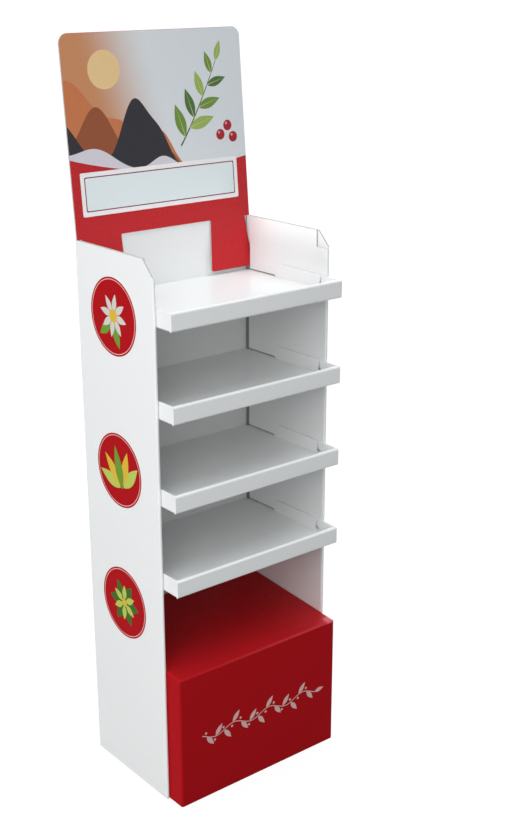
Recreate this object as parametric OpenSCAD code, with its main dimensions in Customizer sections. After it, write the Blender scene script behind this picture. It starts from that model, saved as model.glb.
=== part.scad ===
// Free-standing cardboard display stand.
// A folded sleeve (back, side walls and the liners turned in at their front edges) carries
// four lipped shelf trays, a printed plinth, and a header card that leans back.
// Millimetres. +Z is up and the front faces -Y. The origin is on the floor, below the middle
// of the stand's overall box.

/* [Board] */
// Thickness of the corrugated board
board_t = 3; // [2:0.5:4]
// Inside radius of a fold
fold_r = 1; // [0.5:0.25:1.5]
// Air gap between a side wall and the liner turned in behind it
liner_gap = 0.5; // [0.2:0.1:2]
// Clearance around a piece that slides in between others
fit_gap = 0.2; // [0.1:0.1:1]

/* [Sleeve] */
// Outside width of the sleeve
sleeve_w = 400; // [340:1:600]
// Depth of the side walls, front edge to back
sleeve_d = 242; // [220:1:320]
// Height of the side walls and back
sleeve_h = 1056; // [860:1:1400]
// Opening left between the rear edge of a liner and the back
liner_back_gap = 8.5; // [4:0.5:15]
// Size of the cut across the front top corner of a side wall
corner_cut = 29; // [10:1:50]
// Depth of the notch in the liner behind that corner
notch_d = 30; // [12:1:60]
// Height of the notch in the liner behind that corner
notch_h = 31; // [12:1:60]

/* [Shelf trays] */
// Height from the top tray's floor to the top of the sleeve
top_bay_h = 107.5; // [70:0.5:200]
// Height from the plinth's front top edge to the lowest tray's floor
plinth_bay_h = 178.5; // [60:0.5:260]
// How far the lip stands in front of the sleeve
tray_front = 42; // [30:1:70]
// Height of the lip above the tray's floor
lip_rise = 26; // [20:1:50]
// Air gap between a tray's floor and its under-panel
tray_layer_gap = 2; // [0.5:0.5:6]
// Where the tray's side walls end, behind the sleeve's front edge
wall_end = 146; // [135:1:175]
// Space between the end of a tray's side wall and its floor tab
tab_lead = 2; // [1:0.5:10]
// How far the rear edge of a tray's side wall slants
wall_slant = 10; // [2:1:20]
// Length of each hook on top of a tray's side wall
hook_l = 42; // [20:1:44]
// Distance from the middle of one hook to the middle of the next
hook_pitch = 52; // [46:1:56]
// Spare height above a hook in its slit in the liner
hook_slit_gap = 0.25; // [0.25:0.25:4]
// Height of the slot in the liner that takes a floor tab
tab_slot_h = 5.5; // [4.5:0.5:9]
// Where the corner of the relief cut around a lock tongue is, behind the sleeve's front edge
relief_y = 18; // [16:1:24]
// Height of that corner above the tray's floor
relief_z = 5; // [3:0.5:8]
// Height of the upright run of the relief cut
relief_h = 18; // [14:0.5:19]
// How far the upright run leans forwards
relief_lean = 4; // [0:0.5:6]
// Length of the level run of the relief cut
relief_l = 13; // [11:0.5:14]
// Width of the relief cut at its corner
relief_w = 6; // [2:0.5:8]
// Width of the relief cut at its two ends
relief_tip_w = 1.5; // [0.5:0.5:2]
// Length of the corner flaps inside the lip
corner_flap_l = 50; // [20:1:80]

/* [Plinth] */
// Height of the plinth at its front
plinth_h = 275; // [200:1:380]
// How much higher the plinth is at its rear
plinth_rise = 20.5; // [4:0.5:40]
// How far the plinth stands in front of the sleeve
plinth_front = 40; // [20:1:70]
// Width of the glue flaps inside the plinth's corners
glue_flap_w = 40; // [20:1:70]

/* [Header card] */
// How far the card's sides stay inside the sleeve's sides
header_inset = 1; // [0:0.5:2]
// Height of the card above the sleeve, along the card
header_h = 356; // [200:1:500]
// Angle by which the card leans back
header_lean = 4.9; // [1:0.1:12]
// Radius of the card's top corners
header_corner_r = 18; // [4:1:40]
// Width of the cut-out between the legs, at its top
cutout_w = 207; // [80:1:240]
// How much the cut-out narrows on each side down to the legs' bottom
cutout_taper = 5; // [1:0.5:12]
// Space between the bottom of the legs and the top tray's floor
leg_foot_gap = 8; // [2:0.5:20]
// Radius of the legs' bottom corners
leg_corner_r = 5; // [2:0.5:10]
// Radius of the cut-out's top corners
cutout_corner_r = 3; // [2:0.5:10]
// Space beside each leg where it leaves the card
leg_side_gap = 6; // [1.5:0.5:8]
// Height of the straight foot below each leg's flare
leg_foot_h = 30; // [10:1:45]
// Clearance in front of the feet, in the liners' rear edges
foot_gap = 0.8; // [0.3:0.1:3]

/* [Roundel stickers] */
// Diameter of a sticker
roundel_d = 143; // [60:1:180]
// Thickness of a sticker
roundel_t = 0.2; // [0.1:0.05:0.5]
// How far the stickers' centres are behind the middle of the side wall
roundel_shift = 4; // [-20:1:20]
// From the top of the sleeve down to the top sticker's centre
roundel_top_drop = 119; // [95:1:200]
// From the top of the sleeve down to the middle sticker's centre
roundel_middle_drop = 410; // [390:1:480]
// From the top of the sleeve down to the bottom sticker's centre
roundel_bottom_drop = 681; // [670:1:760]

/* [Hidden] */
$fn = 64;
white_board = "#f1f1ee";
red_board = "#b5121b";
tray_count = 4;
cut_past = 1;
seam = 0.5;

// Folds: radius at the middle of the board, and outside radius
fold_mid_r = fold_r + board_t / 2;
fold_out_r = fold_r + board_t;

// Sleeve
wall_t = 2 * board_t + liner_gap;
inner_w = sleeve_w - 2 * wall_t;
back_y = sleeve_d - board_t;
liner_end = back_y - liner_back_gap;
gap_half_w = sleeve_w / 2 - board_t - liner_gap / 2;
turn_r = (board_t + liner_gap) / 2;

// Trays
tray_half_w = inner_w / 2 - fit_gap;
tray_inner_half_w = tray_half_w - board_t;
tray_end = back_y - fit_gap;
tab_start = wall_end + tab_lead;
tab_end = liner_end - fit_gap;
tab_half_w = sleeve_w / 2 - board_t - liner_gap - fit_gap / 2;
lip_t = 3 * board_t;
lip_drop = 2 * board_t + tray_layer_gap;
lip_front_y = -tray_front + board_t / 2;
lip_inner_y = lip_front_y + lip_t - board_t;
lip_top_z = lip_rise - board_t / 2;
under_z = -lip_drop + board_t / 2;
floor_mid_z = -board_t / 2;
lip_body_half_w = tray_half_w - fold_out_r;
hook_mid_y = (relief_y + wall_end - wall_slant) / 2;
hook_starts = [for (side = [-1, 1]) hook_mid_y + side * hook_pitch / 2 - hook_l / 2];
// lock tongue: from its front end to the relief cut, and from the cut's level run to its top
tongue_start = relief_y - relief_l;
tongue_end = relief_y - max(relief_w, relief_lean + relief_tip_w) - fit_gap;
tongue_low = relief_z + relief_w + fit_gap;
tongue_top = min(relief_z + relief_h, lip_rise - board_t / 2);
// floors evenly spaced from the lowest to the top one
lowest_floor_z = plinth_h + plinth_bay_h;
tray_pitch = (sleeve_h - top_bay_h - lowest_floor_z) / (tray_count - 1);
function floor_z(level) = lowest_floor_z + level * tray_pitch;

// Header
header_w = sleeve_w - 2 * header_inset;
leg_l = top_bay_h - leg_foot_gap;
leg_half_w = inner_w / 2 - leg_side_gap;
foot_half_w = tab_half_w;
// front face of the feet where they reach furthest forward, and the height where the flare starts
// to pass the liners' inner faces
foot_front_y = back_y - leg_l * sin(header_lean) - board_t * cos(header_lean);
flare_h = leg_l - leg_foot_h;
flare_pass = flare_h * (leg_side_gap - fit_gap) / (foot_half_w - leg_half_w);

// Plinth: angle of its top, and height of the hollow below it where the hollow starts
plinth_slope = atan(plinth_rise / (tray_end + plinth_front));
hollow_h = plinth_h + board_t * tan(plinth_slope) - board_t / cos(plinth_slope);
front_flap_h = plinth_h - 2 * board_t;
rear_flap_h = plinth_h + plinth_rise - 3 * board_t;

// Overall box, front to back, with the origin at its middle
rear_y = back_y + header_h * sin(header_lean);
mid_y = (rear_y - tray_front) / 2;

// Small helpers

function direction(a, b) = (b - a) / norm(b - a);
function left_of(v) = [-v[1], v[0]];

// Board that runs along a centreline of straight runs and square folds, drawn edge-on and then
// extruded. radii[i] is the radius of the fold at path[i], at the middle of the board, and 0 at
// both ends.
module folded_board(path, radii, length) {
    last = len(path) - 1;
    for (i = [0 : last - 1]) {
        along = direction(path[i], path[i + 1]);
        start = path[i] + along * radii[i];
        end = path[i + 1] - along * radii[i + 1];
        side = left_of(along) * board_t / 2;
        if (norm(end - start) > 0.001)
            linear_extrude(length) polygon([start + side, end + side, end - side, start - side]);
    }
    for (i = [1 : last - 1]) {
        come = direction(path[i - 1], path[i]);
        leave = direction(path[i], path[i + 1]);
        centre = path[i] + (leave - come) * radii[i];
        reach = 2 * (radii[i] + board_t);
        linear_extrude(length) intersection() {
            translate(centre) difference() {
                circle(r = radii[i] + board_t / 2);
                circle(r = radii[i] - board_t / 2);
            }
            polygon([centre, centre - leave * reach, centre + (come - leave) * reach,
                     centre + come * reach]);
        }
    }
}

// Turns what is drawn in X and Y and extruded along Z: drawn in Y and Z, along X about the middle
module lay_x(length) {
    translate([-length / 2, 0, 0]) rotate([90, 0, 90]) children();
}

// Turns what is drawn in X and Y and extruded along Z: drawn in X and Z, along Y up to an end
module lay_y(to) {
    translate([0, to, 0]) rotate([90, 0, 0]) children();
}

module along_x(length) {
    lay_x(length) linear_extrude(length) children();
}

module along_y(from, to) {
    lay_y(to) linear_extrude(to - from) children();
}

// Box from one corner to the other
module block(low, high) {
    translate(low) cube(high - low);
}

module both_sides() {
    children();
    mirror([1, 0, 0]) children();
}

// Upright rectangle on its lower edge, with rounded top corners
module arch(from, to, h, r) {
    translate([from, 0]) square([to - from, h - r]);
    translate([from + r, 0]) square([to - from - 2 * r, h]);
    for (x = [from + r, to - r]) translate([x, h - r]) circle(r = r);
}

// Rectangle with four rounded corners
module rounded_plan(x0, y0, x1, y1, r) {
    translate([x0, y0 + r]) square([x1 - x0, y1 - y0 - 2 * r]);
    translate([x0 + r, y0]) square([x1 - x0 - 2 * r, y1 - y0]);
    for (x = [x0 + r, x1 - r], y = [y0 + r, y1 - r]) translate([x, y]) circle(r = r);
}

// Sleeve

// Liner, side wall, back, side wall and liner, all one folded sheet
module sleeve_walls() {
    liner_x = sleeve_w / 2 - wall_t + board_t / 2;
    side_x = sleeve_w / 2 - board_t / 2;
    front_y = board_t / 2;
    back_mid_y = sleeve_d - board_t / 2;
    folded_board(
        [[-liner_x, liner_end], [-liner_x, front_y], [-side_x, front_y], [-side_x, back_mid_y],
         [side_x, back_mid_y], [side_x, front_y], [liner_x, front_y], [liner_x, liner_end]],
        [0, turn_r, turn_r, fold_mid_r, fold_mid_r, turn_r, turn_r, 0],
        sleeve_h);
}

// Cut across the front top corners of both side walls
module corner_cutter() {
    along_x(sleeve_w + 2 * cut_past)
        polygon([[-cut_past, sleeve_h - corner_cut - cut_past],
                 [-cut_past, sleeve_h + cut_past],
                 [corner_cut + cut_past, sleeve_h + cut_past]]);
}

// Everything cut from the liners reaches from one side wall's inner face to the other
module liner_cutter(y0, y1, z0, z1, half_w = gap_half_w) {
    block([-half_w, y0, z0], [half_w, y1, z1]);
}

module sleeve() {
    color(white_board) difference() {
        union() sleeve_walls();
        corner_cutter();
        liner_cutter(-cut_past, notch_d, sleeve_h - notch_h, sleeve_h + cut_past, sleeve_w / 2 - board_t);
        for (level = [0 : tray_count - 1]) {
            tab_z = floor_z(level) - board_t;
            hook_z = floor_z(level) + lip_rise - board_t;
            liner_cutter(tab_start - fit_gap, liner_end + cut_past, tab_z, tab_z + tab_slot_h);
            for (y = hook_starts)
                liner_cutter(y - fit_gap, y + hook_l + fit_gap, hook_z, hook_z + board_t + hook_slit_gap);
            // slots for the lock tongues, which show in the relief cuts
            liner_cutter(tongue_start - fit_gap, relief_y, floor_z(level) + relief_z,
                         floor_z(level) + tongue_top + fit_gap);
        }
        // the liners' rear edges stand back for the header's feet
        liner_cutter(foot_front_y - foot_gap, liner_end + cut_past,
                     sleeve_h - top_bay_h, sleeve_h - flare_pass);
    }
}

// Shelf tray, drawn with its floor at Z = 0

// Under-panel, front of the lip, its top, its inside and the turn into the floor
module tray_sheet() {
    length = 2 * lip_body_half_w;
    lay_x(length) folded_board(
        [[tab_end, under_z], [lip_front_y, under_z], [lip_front_y, lip_top_z], [lip_inner_y, lip_top_z],
         [lip_inner_y, floor_mid_z], [lip_inner_y + fold_mid_r, floor_mid_z]],
        [0, fold_mid_r, fold_mid_r, fold_mid_r, fold_mid_r, 0],
        length);
}

// The lip's front and top run on past the side walls to the tray's full width
module lip_end() {
    translate([lip_body_half_w + fold_out_r / 2, 0, 0]) lay_x(fold_out_r) folded_board(
        [[lip_front_y + fold_mid_r, under_z], [lip_front_y, under_z], [lip_front_y, lip_top_z],
         [lip_inner_y, lip_top_z], [lip_inner_y, lip_top_z - fold_mid_r]],
        [0, fold_mid_r, fold_mid_r, fold_mid_r, 0],
        fold_out_r);
}

module tray_side_wall() {
    wall_x = tray_half_w - board_t / 2;
    wall_front = -tray_front + board_t;
    difference() {
        lay_y(wall_end) folded_board(
            [[lip_body_half_w, under_z], [wall_x, under_z], [wall_x, lip_rise]],
            [0, fold_mid_r, 0],
            wall_end - wall_front);
        // slanted rear edge
        along_x(sleeve_w)
            polygon([[wall_end - wall_slant, lip_rise], [wall_end, 0], [wall_end + cut_past, 0],
                     [wall_end + cut_past, lip_rise + cut_past],
                     [wall_end - wall_slant, lip_rise + cut_past]]);
        // relief cut below and behind the lock tongue, widest at its corner
        upright_y = relief_y - relief_lean;
        along_x(sleeve_w)
            polygon([[relief_y, relief_z], [upright_y, tongue_top], [upright_y - relief_tip_w, tongue_top],
                     [relief_y - relief_w, relief_z + relief_w], [tongue_start, relief_z + relief_tip_w],
                     [tongue_start, relief_z]]);
    }
}

module tray_side() {
    tray_side_wall();
    // flap tucked between the two layers of the lip
    block([tray_inner_half_w - corner_flap_l, -tray_front + board_t, -lip_drop + board_t + seam],
          [tray_inner_half_w + seam, -tray_front + 2 * board_t, lip_rise - board_t - seam]);
    // hooks turned out of the wall's top edge, through the slits in the liner
    for (y = hook_starts)
        block([tray_inner_half_w + seam, y, lip_rise - board_t], [tab_half_w, y + hook_l, lip_rise]);
    // lock tongue pressed out of the wall, into its slot in the liner
    block([tray_half_w - seam, tongue_start, tongue_low],
          [tray_half_w + fit_gap + board_t, tongue_end, tongue_top]);
    // floor tab in the liner's rear slot
    block([tray_inner_half_w - seam, tab_start, -board_t], [tab_half_w, tab_end, 0]);
}

module shelf_tray(level) {
    color(white_board) translate([0, 0, floor_z(level)]) union() {
        tray_sheet();
        both_sides() lip_end();
        both_sides() tray_side();
        block([-tray_inner_half_w, lip_inner_y + fold_mid_r, -board_t], [tray_inner_half_w, tray_end, 0]);
    }
}

// Plinth: a cap with four walls, folded down from a top that rises towards the rear

// The plinth from the side, with its two top corners rounded
module rising_arch(front, rear, h, r) {
    square_up = [-sin(plinth_slope), cos(plinth_slope)] * r;
    inset = r * tan(plinth_slope);
    drop = r / cos(plinth_slope);
    front_c = [front + r, h + inset - drop];
    rear_c = [rear - r, h + (rear - front) * tan(plinth_slope) - inset - drop];
    polygon([[front, 0], [front, front_c[1]], front_c + square_up, rear_c + square_up,
             [rear, rear_c[1]], [rear, 0]]);
    for (c = [front_c, rear_c]) translate(c) circle(r = r);
}

module cap(half_w, front, rear, h, r) {
    reach = rear - front;
    intersection() {
        along_x(2 * half_w) rising_arch(front, rear, h, r);
        // rounds the top's side edges, along its slope
        translate([0, front, h]) rotate([plinth_slope, 0, 0]) translate([0, 0, -2 * h])
            along_y(-reach, 2 * reach) arch(-half_w, half_w, 2 * h, r);
        linear_extrude(2 * h) rounded_plan(-half_w, front, half_w, rear, r);
    }
}

module glue_flap(y, h) {
    block([tray_inner_half_w - glue_flap_w, y, 0], [tray_inner_half_w + seam, y + board_t + seam, h]);
}

module base_plinth() {
    color(red_board) union() {
        difference() {
            cap(tray_half_w, -plinth_front, tray_end, plinth_h, fold_out_r);
            translate([0, 0, -cut_past])
                cap(tray_inner_half_w, -plinth_front + board_t, tray_end - board_t,
                    hollow_h + cut_past, fold_r);
        }
        // glue flaps behind the front and in front of the rear wall
        both_sides() {
            glue_flap(-plinth_front + board_t - seam, front_flap_h);
            glue_flap(tray_end - 2 * board_t, rear_flap_h);
        }
    }
}

// Header card, drawn in its own plane with the top of the sleeve at its Y = 0

// What rounds the inner bottom corner of a leg
module leg_corner_cutter() {
    leg_in = cutout_w / 2 - cutout_taper;
    difference() {
        translate([leg_in - cut_past, -leg_l - cut_past]) square(leg_corner_r + cut_past);
        translate([leg_in + leg_corner_r, -leg_l + leg_corner_r]) circle(r = leg_corner_r);
    }
}

// Cut-out with round top corners, narrower between the legs' bottoms
module cutout() {
    half_w = cutout_w / 2;
    taper_l = leg_l - cutout_corner_r;
    low_x = half_w - cutout_taper * (1 + cut_past / taper_l);
    difference() {
        translate([0, -leg_l - cut_past]) arch(-half_w, half_w, leg_l + cut_past, cutout_corner_r);
        both_sides()
            polygon([[half_w, -cutout_corner_r], [low_x, -leg_l - cut_past],
                     [half_w + cut_past, -leg_l - cut_past], [half_w + cut_past, -cutout_corner_r]]);
    }
}

// Card with shoulders, and legs that flare outwards to a foot behind each liner
module header_outline() {
    difference() {
        union() {
            arch(-header_w / 2, header_w / 2, header_h, header_corner_r);
            polygon([[-leg_half_w, cut_past], [-leg_half_w, 0], [-foot_half_w, -flare_h],
                     [-foot_half_w, -leg_l], [foot_half_w, -leg_l], [foot_half_w, -flare_h],
                     [leg_half_w, 0], [leg_half_w, cut_past]]);
        }
        cutout();
        both_sides() leg_corner_cutter();
    }
}

module header_card() {
    color(red_board)
        translate([0, back_y, sleeve_h])
            rotate([90 - header_lean, 0, 0])
                linear_extrude(board_t) header_outline();
}

// Round sticker on the left side wall
module roundel(drop) {
    color(red_board)
        translate([-sleeve_w / 2 - roundel_t, sleeve_d / 2 + roundel_shift, sleeve_h - drop])
            rotate([0, 90, 0])
                cylinder(d = roundel_d, h = roundel_t);
}

module placed() {
    translate([0, -mid_y, 0]) children();
}

placed() sleeve();
placed() header_card();
placed() shelf_tray(3);  // shelf_tray_top
placed() shelf_tray(2);  // shelf_tray_second
placed() shelf_tray(1);  // shelf_tray_third
placed() shelf_tray(0);  // shelf_tray_lowest
placed() base_plinth();
placed() roundel(roundel_top_drop);  // roundel_top
placed() roundel(roundel_middle_drop);  // roundel_middle
placed() roundel(roundel_bottom_drop);  // roundel_bottom
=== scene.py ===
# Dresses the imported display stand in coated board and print, and lights it as in the photograph.

import math

import bpy
from mathutils import Color, Matrix, Vector


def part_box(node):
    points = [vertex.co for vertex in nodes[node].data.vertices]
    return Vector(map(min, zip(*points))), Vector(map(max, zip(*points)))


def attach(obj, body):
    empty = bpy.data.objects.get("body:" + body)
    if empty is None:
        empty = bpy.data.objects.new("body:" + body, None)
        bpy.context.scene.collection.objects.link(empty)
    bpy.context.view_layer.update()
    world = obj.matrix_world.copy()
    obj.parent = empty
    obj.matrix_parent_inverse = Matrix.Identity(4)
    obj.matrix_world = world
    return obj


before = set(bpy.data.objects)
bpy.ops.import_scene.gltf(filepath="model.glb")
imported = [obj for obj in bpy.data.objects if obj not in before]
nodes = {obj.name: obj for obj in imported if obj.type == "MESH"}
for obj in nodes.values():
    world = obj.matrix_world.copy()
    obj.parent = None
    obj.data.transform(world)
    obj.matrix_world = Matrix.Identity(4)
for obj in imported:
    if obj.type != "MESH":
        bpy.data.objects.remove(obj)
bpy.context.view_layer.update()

# Places that the frame gives, in metres
MM = 0.001
TURN = 2 * math.pi
BOARD = 3 * MM
sleeve_low, sleeve_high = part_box("sleeve")
plinth_low, plinth_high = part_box("base_plinth")
tray_names = ["shelf_tray_top", "shelf_tray_second", "shelf_tray_third", "shelf_tray_lowest"]
roundel_names = ["roundel_top", "roundel_middle", "roundel_bottom"]
tray_side_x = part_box(tray_names[0])[1].x

# Camera, fitted to the corners that the photograph shows
PHOTO_W = 522
PHOTO_H = 840
FOCAL_PX = 1296.64
CENTRE_X_PX = 229.054
CENTRE_Y_PX = 436.693
AZIMUTH = math.radians(-37.98)
ELEVATION = math.radians(19.787)
ROLL = math.radians(-0.522)
CAMERA_AT = Vector((-1.410134, -1.867991, 1.511064))

forward = Vector((
    -math.sin(AZIMUTH) * math.cos(ELEVATION),
    math.cos(AZIMUTH) * math.cos(ELEVATION),
    -math.sin(ELEVATION),
))
level = forward.cross(Vector((0, 0, 1))).normalized()
upright = level.cross(forward)
right = level * math.cos(ROLL) + upright * math.sin(ROLL)
up = upright * math.cos(ROLL) - level * math.sin(ROLL)
turn = Matrix((right, up, -forward)).transposed().to_4x4()

camera_data = bpy.data.cameras.new("camera")
camera = bpy.data.objects.new("camera", camera_data)
bpy.context.scene.collection.objects.link(camera)
camera.matrix_world = Matrix.Translation(CAMERA_AT) @ turn
camera_data.sensor_fit = "AUTO"
camera_data.lens = FOCAL_PX / PHOTO_H * camera_data.sensor_width
camera_data.shift_x = (PHOTO_W / 2 - CENTRE_X_PX) / PHOTO_H
camera_data.shift_y = (CENTRE_Y_PX - PHOTO_H / 2) / PHOTO_H
bpy.context.scene.camera = camera


# Shader building
FULL = 255
# a mix node's sockets for the share and the two colours, and for the mixed colour
MIX_INPUTS = (0, 6, 7)
MIX_OUTPUT = 2


def paint(red, green, blue):
    """A colour given in screen levels, from 0 to 255, as linear values."""
    coded = Color((red / FULL, green / FULL, blue / FULL))
    return (*coded.from_srgb_to_scene_linear(), 1.0)


def shade(colour, factor):
    """The same colour, lighter or darker."""
    return (*(min(1.0, part * factor) for part in colour[:3]), 1.0)


class Shader:
    """A material on the frame's own coordinates, with its nodes added one call at a time."""

    def __init__(self, name, gloss):
        self.material = bpy.data.materials.new(name)
        self.material.use_nodes = True
        self.tree = self.material.node_tree
        self.surface = self.tree.nodes["Principled BSDF"]
        self.surface.inputs["Specular IOR Level"].default_value = gloss
        self.place = self.tree.nodes.new("ShaderNodeTexCoord").outputs["Object"]
        self.x, self.y, self.z = self.add("ShaderNodeSeparateXYZ", self.place).outputs

    def feed(self, socket, source):
        """Links a socket to another one, or sets it to a constant."""
        if isinstance(source, bpy.types.NodeSocket):
            self.tree.links.new(source, socket)
        elif source is not None:
            socket.default_value = source

    def add(self, kind, *sources, **settings):
        """A new node with these settings, with the sources in its sockets in order."""
        node = self.tree.nodes.new(kind)
        for key, value in settings.items():
            setattr(node, key, value)
        for socket, source in zip(node.inputs, sources):
            self.feed(socket, source)
        return node

    def math(self, operation, first, second=None):
        """One step of arithmetic."""
        return self.add("ShaderNodeMath", first, second, operation=operation).outputs[0]

    def product(self, first, *others):
        """All of them multiplied."""
        for other in others:
            first = self.math("MULTIPLY", first, other)
        return first

    def along(self, direction):
        """Distance from the origin along a direction."""
        node = self.add("ShaderNodeVectorMath", self.place, direction, operation="DOT_PRODUCT")
        return node.outputs["Value"]

    def away_from(self, point):
        """Distance from a point."""
        node = self.add("ShaderNodeVectorMath", self.place, point, operation="DISTANCE")
        return node.outputs["Value"]

    def wave(self, run, pitch):
        """A sine over the run, from -1 to 1."""
        return self.math("SINE", self.math("MULTIPLY", run, TURN / pitch))

    def noise(self, size, detail=2.0):
        """Soft noise whose blotches are about this size."""
        node = self.add("ShaderNodeTexNoise", self.place)
        node.inputs["Scale"].default_value = 1 / size
        node.inputs["Detail"].default_value = detail
        return node.outputs["Fac"]

    def band(self, value, start, end, low=0.0, high=1.0):
        """Goes smoothly from low to high while the value goes from start to end."""
        node = self.add("ShaderNodeMapRange", value, start, end, low, high)
        node.interpolation_type = "SMOOTHSTEP"
        return node.outputs[0]

    def mix(self, share, first, second):
        """The first colour where the share is 0, and the second where it is 1."""
        node = self.add("ShaderNodeMix", data_type="RGBA")
        for index, source in zip(MIX_INPUTS, (share, first, second)):
            self.feed(node.inputs[index], source)
        return node.outputs[MIX_OUTPUT]

    def grain(self, fibre, colour, spread):
        """A colour that the fibre makes lighter and darker by this share."""
        return self.mix(fibre, shade(colour, 1 - spread), shade(colour, 1 + spread))

    def finish(self, colour, roughness, height, depth):
        """Ends the material with its colour, roughness and relief, where a height of 1 has this depth."""
        self.feed(self.surface.inputs["Base Color"], colour)
        self.feed(self.surface.inputs["Roughness"], roughness)
        node = self.tree.nodes.new("ShaderNodeBump")
        node.inputs["Distance"].default_value = depth
        self.feed(node.inputs["Height"], height)
        self.feed(self.surface.inputs["Normal"], node.outputs[0])
        return self.material


# Laminated board
FLUTE = 6.4 * MM
WASHBOARD = 0.012 * MM
FIBRE = 1.2 * MM
FIBRE_SPAN = (0.3, 0.7)
FIBRE_RELIEF = 0.3
TINT_SPREAD = 0.03
CORNER_SHADE_SPREAD = 0.15
# grey for the painted shade in the strip beside each liner at the back
CORNER_SHADE = paint(160, 161, 160)

# directions in which the ripple of the flutes repeats
UPRIGHT_FLUTES = (1.0, 1.0, 0.0)
LEVEL_FLUTES = (0.0, 1.0, 1.0)
ACROSS_FLUTES = (1.0, 0.0, 0.0)
DEPTH_FLUTES = (0.0, 1.0, 0.0)
CARD_FLUTES = (1.0, 0.0, 1.0)


def laminated(name, tint, flutes, gloss=0.5, rough=(0.26, 0.32), pale_marks=None, fade=None, painted_shade=None):
    """Laminated board: flutes show through as a faint washboard, and gloss and tint vary a little.
    Pale marks is a colour and a function that gives 1 for the shader where the board is paler: rubbed
    film on the white folds, and on the plinth a painted highlight along the top front fold and a paler
    corner.
    A fade goes to another colour along a direction, between two distances from the origin. Where the
    function painted_shade gives 1 for the shader, the board is painted grey as shade."""
    shader = Shader(name, gloss)
    fibre = shader.noise(FIBRE)
    tone = shader.grain(fibre, tint, TINT_SPREAD)
    if fade:
        other, direction, start, end = fade
        part = shader.band(shader.along(direction), start, end)
        tone = shader.mix(part, tone, shader.grain(fibre, other, TINT_SPREAD))
    if pale_marks:
        colour, where = pale_marks
        tone = shader.mix(where(shader), tone, colour)
    if painted_shade:
        tone = shader.mix(painted_shade(shader), tone, shader.grain(fibre, CORNER_SHADE, CORNER_SHADE_SPREAD))
    ripple = shader.wave(shader.along(flutes), FLUTE)
    height = shader.math("ADD", ripple, shader.math("MULTIPLY", fibre, FIBRE_RELIEF))
    return shader.finish(tone, shader.band(fibre, *FIBRE_SPAN, *rough), height, WASHBOARD)


# Cut edges
LINER = 0.45 * MM
MEDIUM = 0.3 * MM
EDGE_RELIEF = 0.4 * MM
EDGE_GLOSS = 0.2
EDGE_SPAN = (0.2, 0.8)
EDGE_ROUGH = (0.75, 0.95)
PAPER_DARK = 0.85
PAPER_LIGHT = 1.1
EDGE_PAPER = paint(236, 235, 231)
# the flutes' hollows are coloured dark as painted shade
EDGE_HOLLOW_SHADE = paint(176, 173, 167)


def cut_edge(name, through, flutes, layers=BOARD, tone=1.0):
    """A raw cut edge: two liners with the wavy medium, and painted shade in the hollows between them.
    The function through gives, for a shader, the distance into the board. The pattern starts anew
    after the distance layers, and tone makes all of it lighter or darker."""
    shader = Shader(name, EDGE_GLOSS)
    depth = shader.math("MODULO", through(shader), layers)
    middle = shader.math("SUBTRACT", depth, BOARD / 2)
    swing = shader.math("MULTIPLY", shader.wave(shader.along(flutes), FLUTE), BOARD / 2 - LINER)
    off_medium = shader.math("ABSOLUTE", shader.math("SUBTRACT", middle, swing))
    medium = shader.band(off_medium, MEDIUM, 2 * MEDIUM, 1.0, 0.0)
    liner = shader.band(shader.math("ABSOLUTE", middle), BOARD / 2 - LINER, BOARD / 2 - LINER / 2)
    paper = shader.math("MAXIMUM", medium, liner)
    fibre = shader.noise(FIBRE)
    stock = shader.mix(fibre, shade(EDGE_PAPER, PAPER_DARK * tone), shade(EDGE_PAPER, PAPER_LIGHT * tone))
    colour = shader.mix(paper, shade(EDGE_HOLLOW_SHADE, tone), stock)
    return shader.finish(colour, shader.band(fibre, *EDGE_SPAN, *EDGE_ROUGH), paper, EDGE_RELIEF)


# Painted shade beside the liners, rubbed patches on the folds, and a painted highlight and paler corner
# on the plinth
CORNER_SHADE_X = sleeve_high.x - 7.5 * MM
CORNER_SHADE_SOFT = 0.4 * MM
BACK_INSIDE = sleeve_high.y - BOARD
FLECK = 7 * MM
PATCH_DETAIL = 4.0
PATCH_SPAN = (0.52, 0.66)
PLINTH_TOP = 275 * MM
PLINTH_CORNER = (plinth_high.x, plinth_low.y, PLINTH_TOP)
PALE_DETAIL = 3.0
# where the painted highlight along the plinth's top front fold lies
HIGHLIGHT_LEFT_TO_RIGHT = (0.03, 0.32)
HIGHLIGHT_UNEVEN = (0.5, 1.0)
HIGHLIGHT_FRONT = (plinth_low.y + 5 * MM, plinth_low.y + 6 * MM)
HIGHLIGHT_TOP = (PLINTH_TOP - 6 * MM, PLINTH_TOP - 4 * MM)
PALE_RAGGED = 22 * MM
PALE_SPAN = (26 * MM, 36 * MM)
PALE_MOST = 0.9


def painted_corner_shade(shader):
    """1 on the inside of the back, in the strip beside each liner, for painted shade in the gap behind
    the liner's rear edge.
    """
    strip_side = shader.band(shader.math("ABSOLUTE", shader.x), CORNER_SHADE_X - CORNER_SHADE_SOFT, CORNER_SHADE_X)
    past_liner = shader.band(shader.y, BACK_INSIDE - MM, BACK_INSIDE - CORNER_SHADE_SOFT)
    inside = shader.band(shader.y, BACK_INSIDE + CORNER_SHADE_SOFT, BACK_INSIDE + MM, 1.0, 0.0)
    return shader.product(strip_side, past_liner, inside)


def rubbed_patches(shader):
    """1 in small patches all over."""
    return shader.band(shader.noise(FLECK, PATCH_DETAIL), *PATCH_SPAN)


def pale_corner(shader):
    """Strong at the plinth's top front right corner, and gone a few centimetres from it."""
    rag = shader.math("MULTIPLY", shader.noise(FLECK, PALE_DETAIL), PALE_RAGGED)
    ragged = shader.math("ADD", shader.away_from(PLINTH_CORNER), rag)
    return shader.band(ragged, *PALE_SPAN, PALE_MOST, 0.0)


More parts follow.
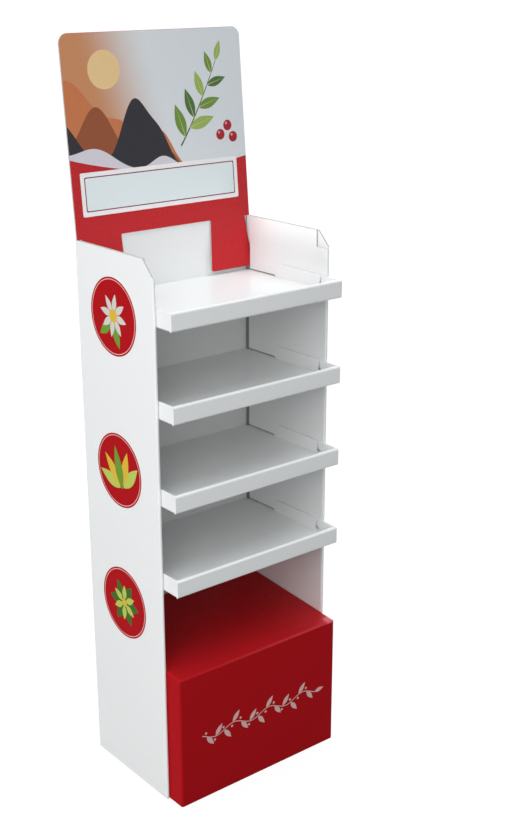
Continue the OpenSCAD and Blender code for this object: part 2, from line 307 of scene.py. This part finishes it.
def plinth_fold_highlight(shader):
    """A faint painted highlight along the top front fold, stronger to the right, with the paler top front
    right corner.
    """
    along = shader.band(shader.x, plinth_low.x, plinth_high.x, *HIGHLIGHT_LEFT_TO_RIGHT)
    front = shader.band(shader.y, *HIGHLIGHT_FRONT, 1.0, 0.0)
    top = shader.band(shader.z, *HIGHLIGHT_TOP)
    uneven = shader.band(shader.noise(FLECK, PALE_DETAIL), *FIBRE_SPAN, *HIGHLIGHT_UNEVEN)
    return shader.math("MAXIMUM", shader.product(along, front, top, uneven), pale_corner(shader))


# Board and print materials
WHITE = paint(243, 244, 244)
WHITE_WORN = paint(247, 247, 244)
RED = paint(178, 21, 28)
# a paler red for the painted highlight along the plinth's fold and for its paler corner
RED_PALE = paint(222, 104, 116)
# the header's red is the plinth's red made lighter, as painted light for the brighter light on the header
HEADER_RED_PAINTED_LIGHT = paint(195, 28, 36)
PRINT_GLOSS = 0.01
CARD_GLOSS = 0.3
# the reverse is painted grey as shade between the walls, and stays white where the top corner shows it
REVERSE_FADE = (WHITE, (0, 0, 1), sleeve_high.z - 60 * MM, sleeve_high.z - 45 * MM)


def on_card(name, tint, fade=None):
    """Print on the header card."""
    return laminated(name, tint, ACROSS_FLUTES, gloss=CARD_GLOSS, fade=fade)


def on_plinth(name, tint, gloss=PRINT_GLOSS, pale_marks=None):
    """Print on the plinth."""
    return laminated(name, tint, ACROSS_FLUTES, gloss=gloss, pale_marks=pale_marks)


def on_sticker(name, tint):
    """Print on a sticker, which follows the flutes of the wall behind it."""
    return laminated(name, tint, UPRIGHT_FLUTES, gloss=PRINT_GLOSS)


white_upright = laminated("white_board_upright_flutes", WHITE, UPRIGHT_FLUTES)
# the sleeve's board carries painted shade in the strip beside each liner at the back
white_sleeve = laminated("white_board_sleeve", WHITE, UPRIGHT_FLUTES, gloss=0.06, painted_shade=painted_corner_shade)
white_level = laminated("white_board_level_flutes", WHITE, LEVEL_FLUTES, gloss=0.04, rough=(0.12, 0.16))
white_fold = laminated("white_board_fold", WHITE, UPRIGHT_FLUTES, pale_marks=(WHITE_WORN, rubbed_patches))
# painted shade: the white reverse between the walls is coloured grey, fading to white near the top
reverse_side_shaded = laminated(
    "reverse_side_shaded", paint(168, 168, 166), UPRIGHT_FLUTES, gloss=0.1, rough=(0.7, 0.9), fade=REVERSE_FADE
)
plain_inside = laminated("plain_inside", paint(214, 208, 198), ACROSS_FLUTES, gloss=0.2, rough=(0.6, 0.8))
header_red_painted_light = on_card("header_red_painted_light", HEADER_RED_PAINTED_LIGHT)
plinth_red = on_plinth("plinth_red", RED)
plinth_top = on_plinth("plinth_red_top", RED, gloss=0.1, pale_marks=(RED_PALE, pale_corner))
# painted highlight along the plinth's top front fold
plinth_fold = on_plinth("plinth_red_fold", RED, pale_marks=(RED_PALE, plinth_fold_highlight))
sticker_red = on_sticker("sticker_red", RED)

# Cut edge materials
WALL_LAYERS = 3.5 * MM
liner_x = sleeve_high.x - BOARD - WALL_LAYERS
STEEP = 0.5

header_front = max(
    (face for face in nodes["header_card"].data.polygons if face.normal.y < -STEEP),
    key=lambda face: face.area,
)
header_normal = header_front.normal.copy()
header_offset = header_front.center.dot(header_normal)


def outwards_from(side_x):
    """A function that gives, for a shader, the distance outwards from this place on either side."""
    return lambda shader: shader.math("SUBTRACT", shader.math("ABSOLUTE", shader.x), side_x)


def from_back(shader):
    """Distance forwards from the outside of the back."""
    return shader.math("SUBTRACT", sleeve_high.y, shader.y)


def from_header_front(shader):
    """Distance into the header card from its front."""
    return shader.math("SUBTRACT", header_offset, shader.along(header_normal))


edge_sides = cut_edge("cut_edge_sides", outwards_from(liner_x), DEPTH_FLUTES, WALL_LAYERS)
edge_back = cut_edge("cut_edge_back", from_back, ACROSS_FLUTES)
# the trays' cut edges are darkened to 0.3 as painted shade, so the relief cuts read as deep slots
edge_trays_shaded = cut_edge("cut_edge_trays_shaded", outwards_from(tray_side_x), LEVEL_FLUTES, tone=0.3)
edge_header = cut_edge("cut_edge_header", from_header_front, CARD_FLUTES)

# Materials on the faces of the CAD nodes
AXIS_CLEAR = 0.995
FACING = 0.9
between_walls = sleeve_high.x - WALL_LAYERS
# the relief cuts in the trays' side walls end this far behind the sleeve's front edge
RELIEF_END = 19 * MM


def dress(name, materials, choose):
    """Puts the materials in a node's slots, and on each face the one that choose names."""
    mesh = nodes[name].data
    mesh.materials.clear()
    for material in materials.values():
        mesh.materials.append(material)
    order = list(materials)
    for face in mesh.polygons:
        face.material_index = order.index(choose(face.center, face.normal))


def is_fold(normal):
    """True where a face lies on none of the three main planes."""
    return max(abs(normal.x), abs(normal.y), abs(normal.z)) < AXIS_CLEAR


def sleeve_face(centre, normal):
    """Cut edges at the top, bottom and liners' rear, the reverse between the walls in painted shade,
    folds and board.
    """
    in_back = centre.y > BACK_INSIDE - MM
    if abs(normal.z) > STEEP:
        return "edge_back" if in_back else "edge_sides"
    if is_fold(normal):
        return "shaded_reverse" if in_back and normal.y < 0 else "fold"
    if abs(normal.x) > FACING and abs(abs(centre.x) - between_walls) < MM:
        return "shaded_reverse"
    in_liner = abs(centre.x) < sleeve_high.x - BOARD
    past_fold = centre.y > sleeve_low.y + 2 * WALL_LAYERS
    if in_liner and past_fold and not in_back and abs(normal.y) > FACING:
        return "edge_sides"
    return "board"


def header_face(centre, normal):
    """Print in front, plain board behind and cut edges all round."""
    towards = normal.dot(header_normal)
    if towards > FACING:
        return "print"
    return "board" if towards < -FACING else "edge"


def plinth_face(centre, normal):
    """Print outside, with its own finish on the top and the folds, and plain board inside."""
    if centre.z < plinth_low.z + MM and normal.z < -FACING:
        return "inside"
    middle = (plinth_low + plinth_high) / 2
    if normal.dot(centre - middle) < 0:
        return "inside"
    if normal.z > FACING:
        return "top"
    return "fold" if is_fold(normal) else "print"


def tray_face(centre, normal):
    """Cut edges in the relief cuts, darkened as painted shade, rubbed folds along the lip, and board."""
    in_side_wall = abs(centre.x) > tray_side_x and centre.y > sleeve_low.y
    if in_side_wall and abs(normal.x) < STEEP and centre.y < sleeve_low.y + RELIEF_END:
        return "edge"
    if is_fold(normal) and abs(normal.x) < STEEP:
        return "fold"
    return "board"


def sticker_face(centre, normal):
    """Print all over."""
    return "print"


SLEEVE_MATERIALS = {
    "board": white_sleeve,
    "fold": white_fold,
    "shaded_reverse": reverse_side_shaded,
    "edge_sides": edge_sides,
    "edge_back": edge_back,
}
HEADER_MATERIALS = {"print": header_red_painted_light, "board": white_upright, "edge": edge_header}
PLINTH_MATERIALS = {
    "print": plinth_red,
    "top": plinth_top,
    "fold": plinth_fold,
    "inside": plain_inside,
}
TRAY_MATERIALS = {"board": white_level, "fold": white_fold, "edge": edge_trays_shaded}

dress("sleeve", SLEEVE_MATERIALS, sleeve_face)
dress("header_card", HEADER_MATERIALS, header_face)
dress("base_plinth", PLINTH_MATERIALS, plinth_face)
for tray in tray_names:
    dress(tray, TRAY_MATERIALS, tray_face)
for roundel in roundel_names:
    dress(roundel, {"print": sticker_red}, sticker_face)

# Print, as flat fields of ink a hair above the board
INK = 0.04 * MM


class Place:
    """A flat place for print. Its own right and up are in millimetres from its origin."""

    def __init__(self, origin, rightwards, upwards):
        self.origin = Vector(origin)
        self.rightwards = Vector(rightwards)
        self.upwards = Vector(upwards)
        self.outwards = self.rightwards.cross(self.upwards)

    def at(self, u, v, layer):
        """The point at these millimetres, on a layer of ink."""
        flat = (self.rightwards * u + self.upwards * v) * MM
        return self.origin + flat + self.outwards * layer * INK


def facing_out(outline):
    """The outline in the order that makes its face look outwards."""
    turns = zip(outline, outline[1:] + outline[:1])
    area = sum(a[0] * b[1] - b[0] * a[1] for a, b in turns)
    return outline if area > 0 else outline[::-1]


def ink(name, place, layer, material, outlines):
    """One piece of print: flat faces with these outlines, on a layer above the board."""
    points = []
    faces = []
    for outline in outlines:
        faces.append(range(len(points), len(points) + len(outline)))
        points.extend(place.at(u, v, layer) for u, v in facing_out(outline))
    mesh = bpy.data.meshes.new(name)
    mesh.from_pydata(points, [], faces)
    mesh.materials.append(material)
    piece = bpy.data.objects.new(name, mesh)
    bpy.context.scene.collection.objects.link(piece)
    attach(piece, "root")


# Outlines, in millimetres and degrees
DISC_STEPS = 64
CORNER_STEPS = 6
LEAF_STEPS = 14
LEAF_SHOULDER = 0.85


def spread_of(start, end, steps):
    """Even steps from start to end, with both ends."""
    return [start + (end - start) * step / steps for step in range(steps + 1)]


def polar(u, v, radius, angle):
    """The point at a distance and an angle from another."""
    turned = math.radians(angle)
    return u + radius * math.cos(turned), v + radius * math.sin(turned)


def arc(u, v, radius, start, end, steps):
    """Points on an arc."""
    return [polar(u, v, radius, angle) for angle in spread_of(start, end, steps)]


def disc(u, v, radius):
    """A round field."""
    return arc(u, v, radius, 0, 360, DISC_STEPS)[:-1]


def rounded(left, bottom, right_side, top, radius):
    """A rectangle with round corners."""
    return (
        arc(right_side - radius, bottom + radius, radius, -90, 0, CORNER_STEPS)
        + arc(right_side - radius, top - radius, radius, 0, 90, CORNER_STEPS)
        + arc(left + radius, top - radius, radius, 90, 180, CORNER_STEPS)
        + arc(left + radius, bottom + radius, radius, 180, 270, CORNER_STEPS)
    )


def band_between(outer, inner):
    """The four-sided faces between two outlines with as many points each."""
    count = len(outer)
    return [[outer[i], outer[(i + 1) % count], inner[(i + 1) % count], inner[i]] for i in range(count)]


def leaf(u, v, length, width, angle):
    """A pointed leaf that grows from a point at an angle."""
    turned = math.radians(angle)
    edge = []
    for side in (1, -1):
        run = range(LEAF_STEPS + 1) if side > 0 else range(LEAF_STEPS - 1, 0, -1)
        for step in run:
            share = step / LEAF_STEPS
            bulge = math.sin(math.pi * share ** LEAF_SHOULDER) * width / 2
            edge.append((length * share, side * bulge))
    return [
        (u + a * math.cos(turned) - b * math.sin(turned), v + a * math.sin(turned) + b * math.cos(turned))
        for a, b in edge
    ]


def fan(u, v, start, length, width, angles):
    """Leaves around a point, from a distance where they no longer touch each other."""
    return [leaf(*polar(u, v, start, angle), length, width, angle) for angle in angles]


def strip(points, start_width, end_width):
    """Four-sided faces along a line, as wide as given at its two ends."""
    left_edge = []
    right_edge = []
    last = len(points) - 1
    for i, (u, v) in enumerate(points):
        before = points[max(i - 1, 0)]
        after = points[min(i + 1, last)]
        run = math.hypot(after[0] - before[0], after[1] - before[1])
        half = (start_width + (end_width - start_width) * i / last) / 2
        du = -(after[1] - before[1]) / run * half
        dv = (after[0] - before[0]) / run * half
        left_edge.append((u + du, v + dv))
        right_edge.append((u - du, v - dv))
    return [[left_edge[i], left_edge[i + 1], right_edge[i + 1], right_edge[i]] for i in range(last)]


def bend(start, pull, end, steps):
    """Points on a curve from start to end, drawn towards pull."""
    line = []
    for t in spread_of(0, 1, steps):
        parts = ((1 - t) ** 2, 2 * t * (1 - t), t ** 2)
        line.append(tuple(sum(w * p[i] for w, p in zip(parts, (start, pull, end))) for i in (0, 1)))
    return line


# Header print: warm hills under a sun on the left
CARD_HALF = 198.8
CARD_TOP = 355.8
CARD_R = 17.8
CARD_R_STEPS = 8
HORIZON_MIDDLE = 106
HORIZON_DIP = 22.5
HORIZON_FALL = 12.5
HORIZON_STEPS = 40
HILL_END = 60
HILL_STEPS = 60
SUN_AT = (-112, 292)
SUN_R = 34
# the sky turns from warm to pale between these distances along the slanting direction
SKY_FADE = (paint(227, 232, 236), (1, 0, 0.25), 180 * MM, 340 * MM)
# each hill has a name, a layer, a colour, and swells with their height, middle and spread
HILLS = [
    ("hill_far", 3, paint(204, 122, 76), [(138, -190, 80), (64, -78, 44), (70, 2, 34)]),
    ("hill_mid", 4, paint(150, 80, 48), [(104, -134, 50), (34, 18, 24)]),
    ("hill_near", 5, paint(38, 36, 44), [(128, -50, 46), (64, -212, 44), (40, 4, 26)]),
    ("mist", 6, paint(222, 216, 226), [(30, -140, 52), (26, 4, 36)]),
]

# the print is measured from where the card's front passes the height of the sleeve's top
header_y = (header_offset - header_normal.z * sleeve_high.z) / header_normal.y
card = Place((0.0, header_y, sleeve_high.z), (1, 0, 0), header_normal.cross(Vector((1, 0, 0))))


def horizon(u):
    """Height of the red field's upper edge, which dips in the middle."""
    share = u / CARD_HALF
    return HORIZON_MIDDLE + HORIZON_DIP * share ** 2 - HORIZON_FALL * share


def hill(swells):
    """A hill that stands on the horizon."""
    across = spread_of(-CARD_HALF, HILL_END, HILL_STEPS)
    crest = []
    for u in across:
        rise = sum(height * math.exp(-((u - middle) / spread) ** 2) for height, middle, spread in swells)
        crest.append((u, horizon(u) + rise))
    foot = [(u, horizon(u)) for u in reversed(across)]
    return crest + foot


def card_ink(part, layer, tint, outlines, fade=None):
    """One colour of the header's print."""
    name = f"print_{part}"
    ink(name, card, layer, on_card(name, tint, fade), outlines)


sky = [(-CARD_HALF, horizon(-CARD_HALF))]
sky += arc(-CARD_HALF + CARD_R, CARD_TOP - CARD_R, CARD_R, 180, 90, CARD_R_STEPS)
sky += arc(CARD_HALF - CARD_R, CARD_TOP - CARD_R, CARD_R, 90, 0, CARD_R_STEPS)
sky += [(u, horizon(u)) for u in spread_of(CARD_HALF, -CARD_HALF, HORIZON_STEPS)[:-1]]
card_ink("header_sky", layer=1, tint=paint(206, 142, 98), outlines=[sky], fade=SKY_FADE)
card_ink("header_sun", layer=2, tint=paint(240, 205, 150), outlines=[disc(*SUN_AT, SUN_R)])
for part, layer, tint, swells in HILLS:
    card_ink(f"header_{part}", layer, tint, [hill(swells)])

# Header print: a leaf sprig and berries on the right
STEM_COURSE = ((46, 146), (92, 206), (138, 296))
STEM_STEPS = 24
STEM_WIDTHS = (3.2, 1.2)
RIB_WIDTHS = (1.4, 0.3)
RIB_SHARE = 0.86
LEAF_EVERY = 3
LEAF_LAYER = 3
LEAF_LENGTH = 64
LEAF_SHORTER = 3.6
LEAF_SLIM = 0.36
LEAF_LEAN = 62
LEAF_SPREAD = 46
TIP_LEAN = 72
LEAF_GREENS = [paint(112, 146, 58), paint(160, 184, 92), paint(78, 112, 50)]
BERRIES = [(158, 176), (140, 160), (170, 154)]
BERRY_R = 10
GLINT_R = 2.4
GLINT_SHIFT = (-3, 4)

stem = bend(*STEM_COURSE, STEM_STEPS)
leaf_faces = [[] for _ in LEAF_GREENS]
rib_faces = []
leaf_places = stem[LEAF_EVERY::LEAF_EVERY]
for i, (u, v) in enumerate(leaf_places):
    length = LEAF_LENGTH - LEAF_SHORTER * i
    angle = LEAF_LEAN - LEAF_SPREAD if i % 2 else LEAF_LEAN + LEAF_SPREAD
    if i == len(leaf_places) - 1:
        angle = TIP_LEAN
    leaf_faces[i % len(LEAF_GREENS)].append(leaf(u, v, length, length * LEAF_SLIM, angle))
    rib_faces += strip([(u, v), polar(u, v, length * RIB_SHARE, angle)], *RIB_WIDTHS)
berries = [disc(u, v, BERRY_R) for u, v in BERRIES]
glints = [disc(u + GLINT_SHIFT[0], v + GLINT_SHIFT[1], GLINT_R) for u, v in BERRIES]
card_ink("header_stem", layer=2, tint=paint(74, 96, 48), outlines=strip(stem, *STEM_WIDTHS))
for i, tint in enumerate(LEAF_GREENS):
    card_ink(f"header_leaves_{i + 1}", LEAF_LAYER + i, tint, leaf_faces[i])
card_ink("header_ribs", layer=6, tint=paint(206, 214, 160), outlines=rib_faces)
card_ink("header_berries", layer=3, tint=paint(172, 26, 44), outlines=berries)
card_ink("header_glints", layer=4, tint=paint(232, 168, 168), outlines=glints)

# Bare label on the header: white frame, thin dark line, pale field
LABEL_LEFT = -181
LABEL_RIGHT = 175
LABEL_LOW = 38.6
LABEL_TOP = 116.6
LABEL_R = 3
LINE_INSET = 8
LINE = 2.0


def label_box(inset):
    """The label's outline, moved inwards on all sides."""
    return rounded(LABEL_LEFT + inset, LABEL_LOW + inset, LABEL_RIGHT - inset, LABEL_TOP - inset, LABEL_R)


label_frame = label_box(0)
label_line = label_box(LINE_INSET)
label_field = label_box(LINE_INSET + LINE)
card_ink("label_frame", layer=7, tint=paint(252, 248, 248), outlines=[label_frame])
card_ink("label_line", layer=8, tint=paint(128, 56, 82), outlines=[label_line])
card_ink("label_field", layer=9, tint=paint(236, 245, 247), outlines=[label_field])

# Stickers: a pale ring and a plant motif, each turned a little as put on by hand
RING_OUT = 68.2
RING_IN = 66.9

sticker_ring = on_sticker("sticker_ring", paint(236, 200, 198))
sticker_petal = on_sticker("sticker_petal", paint(214, 212, 204))
sticker_yellow = on_sticker("sticker_yellow", paint(226, 184, 66))
sticker_lime = on_sticker("sticker_lime", paint(190, 204, 96))
sticker_green = on_sticker("sticker_green", paint(112, 156, 58))
sticker_deep = on_sticker("sticker_deep", paint(70, 110, 48))

# each part of a motif has a name, a material and outlines, from the lowest layer up
FLOWER = [
    ("leaves", sticker_green, fan(0, -8, start=8, length=44, width=19, angles=(-128, -52))),
    ("petals", sticker_petal, fan(0, 2, start=6, length=35, width=13.6, angles=range(5, 365, 45))),
    ("heart", sticker_yellow, [disc(0, 2, radius=12)]),
]
SPRAY = [
    ("outer_leaves", sticker_lime, fan(0, -36, start=6, length=68, width=24, angles=(32, 148))),
    ("inner_leaves", sticker_yellow, fan(0, -36, start=8, length=72, width=22, angles=(62, 118))),
    ("middle_leaf", sticker_green, fan(0, -36, start=0, length=84, width=24, angles=(90,))),
]
ROSETTE = [
    ("outer_leaves", sticker_deep, fan(0, 0, start=6, length=42, width=21, angles=range(30, 390, 60))),
    ("inner_leaves", sticker_lime, fan(0, 0, start=6, length=31, width=14, angles=range(0, 360, 60))),
    ("heart", sticker_yellow, [disc(0, 0, radius=8)]),
]
STICKER_TURNS = (-16, 14, 27)


def print_sticker(roundel, angle, motif):
    """The ring and the motif on one sticker, turned by an angle."""
    sticker_low, sticker_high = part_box(roundel)
    middle = (sticker_low + sticker_high) / 2
    lean = math.radians(angle)
    sticker = Place(
        (sticker_low.x, middle.y, middle.z),
        (0, -math.cos(lean), math.sin(lean)),
        (0, math.sin(lean), math.cos(lean)),
    )
    ring = band_between(disc(0, 0, RING_OUT), disc(0, 0, RING_IN))
    ink(f"print_{roundel}_ring", sticker, 1, sticker_ring, ring)
    for layer, (part, material, outlines) in enumerate(motif, start=1):
        ink(f"print_{roundel}_{part}", sticker, layer, material, outlines)


for roundel, angle, motif in zip(roundel_names, STICKER_TURNS, (FLOWER, SPRAY, ROSETTE)):
    print_sticker(roundel, angle, motif)

# Plinth print: a pale garland across the front
GARLAND_HALF = 143
GARLAND_V = 133
GARLAND_SWING = 7
GARLAND_STEP = 22
GARLAND_PERIOD = 4 * GARLAND_STEP
GARLAND_STEPS = 72
GARLAND_LEAVES = 12
VINE_WIDTH = 1.8
SPRIG_LENGTH = 27
SPRIG_WIDTH = 10
SPRIG_LEAN = 52
SPRIG_OFF = 1
DOT_R = 2.6
DOT_BACK = 2
DOT_OFF = 7


def garland_v(u):
    """Height of the vine, which swings up and down."""
    return GARLAND_V + GARLAND_SWING * math.sin(TURN * u / GARLAND_PERIOD)


vine = [(u, garland_v(u)) for u in spread_of(-GARLAND_HALF, GARLAND_HALF, GARLAND_STEPS)]
garland = strip(vine, VINE_WIDTH, VINE_WIDTH)
first_leaf = -GARLAND_HALF + GARLAND_STEP / 2
last_leaf = GARLAND_HALF - GARLAND_STEP
for i, u in enumerate(spread_of(first_leaf, last_leaf, GARLAND_LEAVES)):
    side = 1 if i % 2 else -1
    garland.append(leaf(u, garland_v(u) + side * SPRIG_OFF, SPRIG_LENGTH, SPRIG_WIDTH, side * SPRIG_LEAN))
    garland.append(disc(u - DOT_BACK, garland_v(u - DOT_BACK) - side * DOT_OFF, DOT_R))
garland.append(leaf(GARLAND_HALF, garland_v(GARLAND_HALF), length=24, width=9, angle=8))
plinth_front = Place((0.0, plinth_low.y, plinth_low.z), (1, 0, 0), (0, 0, 1))
pale_ink = on_plinth("pale_ink", paint(228, 190, 186))
ink("print_plinth_garland", plinth_front, 1, pale_ink, garland)

# Floor, seen white by the camera and by gloss, with the shadow kept
FLOOR_HALF = 60.0
FLOOR_SINK = 0.2 * MM
FLOOR_TONE = 0.25
FLOOR_GLOW = 0.8
FLOOR_CORNERS = [(-1, -1), (1, -1), (1, 1), (-1, 1)]
WHITE_LIGHT = (1.0, 1.0, 1.0)

floor_mesh = bpy.data.meshes.new("floor")
floor_points = [(FLOOR_HALF * a, FLOOR_HALF * b, -FLOOR_SINK) for a, b in FLOOR_CORNERS]
floor_mesh.from_pydata(floor_points, [], [range(len(floor_points))])
floor = bpy.data.objects.new("floor", floor_mesh)
bpy.context.scene.collection.objects.link(floor)


def seen_directly(tree):
    """1 for rays from the camera, from gloss and through clear material, and 0 for the others."""
    path = tree.nodes.new("ShaderNodeLightPath")
    total = path.outputs["Is Camera Ray"]
    for name in ("Is Glossy Ray", "Is Transmission Ray"):
        node = tree.nodes.new("ShaderNodeMath")
        node.operation = "MAXIMUM"
        tree.links.new(total, node.inputs[0])
        tree.links.new(path.outputs[name], node.inputs[1])
        total = node.outputs[0]
    return total


floor_material = bpy.data.materials.new("floor")
floor_material.use_nodes = True
floor_tree = floor_material.node_tree
floor_surface = floor_tree.nodes["Principled BSDF"]
floor_surface.inputs["Base Color"].default_value = (FLOOR_TONE, FLOOR_TONE, FLOOR_TONE, 1.0)
floor_surface.inputs["Roughness"].default_value = 1.0
floor_surface.inputs["Specular IOR Level"].default_value = 0.0
floor_surface.inputs["Emission Color"].default_value = (*WHITE_LIGHT, 1.0)
glow = floor_tree.nodes.new("ShaderNodeMath")
glow.operation = "MULTIPLY"
glow.inputs[1].default_value = FLOOR_GLOW
floor_tree.links.new(seen_directly(floor_tree), glow.inputs[0])
floor_tree.links.new(glow.outputs[0], floor_surface.inputs["Emission Strength"])
floor_mesh.materials.append(floor_material)

# World and lamps
AMBIENT = 0.25
COOL_LIGHT = (0.9, 0.97, 1.0)

world = bpy.data.worlds.new("world")
bpy.context.scene.world = world
world.use_nodes = True
world_tree = world.node_tree
background = world_tree.nodes["Background"]
background.inputs["Color"].default_value = (*WHITE_LIGHT, 1.0)
level_range = world_tree.nodes.new("ShaderNodeMapRange")
level_range.inputs["To Min"].default_value = AMBIENT
level_range.inputs["To Max"].default_value = 1.0
world_tree.links.new(seen_directly(world_tree), level_range.inputs["Value"])
world_tree.links.new(level_range.outputs[0], background.inputs["Strength"])


def light(name, kind, energy, towards, location=(0, 0, 0)):
    """A lamp at a place, which shines from this direction."""
    data = bpy.data.lights.new(name, kind)
    data.energy = energy
    lamp = bpy.data.objects.new(name, data)
    bpy.context.scene.collection.objects.link(lamp)
    lamp.location = location
    lamp.rotation_mode = "QUATERNION"
    lamp.rotation_quaternion = Vector(towards).to_track_quat("Z", "Y")
    return data


def broad(name, towards, strength, spread, tint=WHITE_LIGHT):
    """A broad soft light from a direction. A white face square to it gets the strength."""
    data = light(name, "SUN", strength * math.pi, towards)
    data.color = tint
    data.angle = math.radians(spread)


def softbox(name, aim, towards, reach, size, power):
    """A square soft lamp, set out from the aim in a direction."""
    direction = Vector(towards).normalized()
    data = light(name, "AREA", power, direction, Vector(aim) + direction * reach)
    data.size = size


broad("key", (-0.78, -0.1, 0.45), strength=0.07, spread=32)
broad("overhead", (0.0, -0.12, 1.0), strength=0.61, spread=60, tint=COOL_LIGHT)
broad("side", (-1.0, 0.08, 0.03), strength=0.41, spread=12)
broad("rear", (1.0, 0.7, 0.03), strength=0.8, spread=36)
softbox("fill", (0.0, 0.0, 1.1), (-0.7, -0.68, 0.25), reach=3.0, size=1.8, power=27)
softbox("fill_high", (0.0, 0.1, 1.3), (-1.3, -1.5, 1.0), reach=2.2, size=1.4, power=6.5)

bpy.context.scene.view_settings.view_transform = "Standard"
